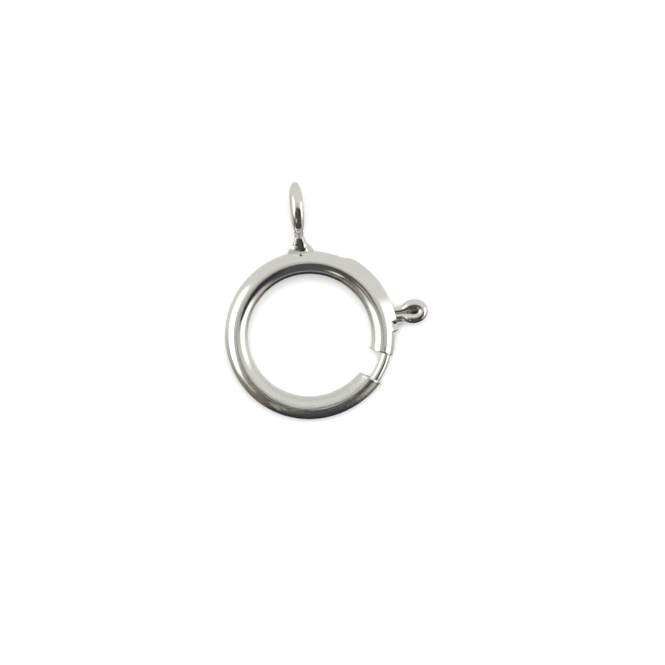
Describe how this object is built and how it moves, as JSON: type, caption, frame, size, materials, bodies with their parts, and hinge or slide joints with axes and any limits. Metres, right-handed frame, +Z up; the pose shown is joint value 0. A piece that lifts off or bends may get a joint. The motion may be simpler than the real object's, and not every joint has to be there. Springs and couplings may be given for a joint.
{
  "type": "spring ring clasp",
  "caption": "Round hollow jewellery clasp with a sprung bolt across its gap, a folded-wire trigger, a pierced lug and an upright end loop.",
  "frame": {"origin": "middle of the bounding box on the surface that the clasp lies on", "axes": "+Z up from the surface, +Y from the ring towards the lug and the end loop, +X towards the trigger"},
  "size_m": [0.0218, 0.0254, 0.0058],
  "materials": {
    "ring_body": "polished sterling silver",
    "bolt": "polished sterling silver",
    "trigger": "polished sterling silver",
    "spring": "drawn steel wire",
    "end_loop": "polished sterling silver"
  },
  "bodies": {
    "body": {"ring_body": "ring_body", "end_loop": "end_loop", "spring": "spring"},
    "bolt": {"bolt": "bolt", "trigger": "trigger"}
  },
  "joints": [
    {"name": "bolt_slide", "type": "hinge", "parent": "body", "child": "bolt", "pos_m": [-0.00183, -0.00379, 0.00187], "axis": [0.0357, -0.0764, 0.9964], "range_deg": [0, 40], "stiffness_Nm_per_rad": 0.022, "springref_deg": -12.61, "deforming": ["spring"]}
  ]
}
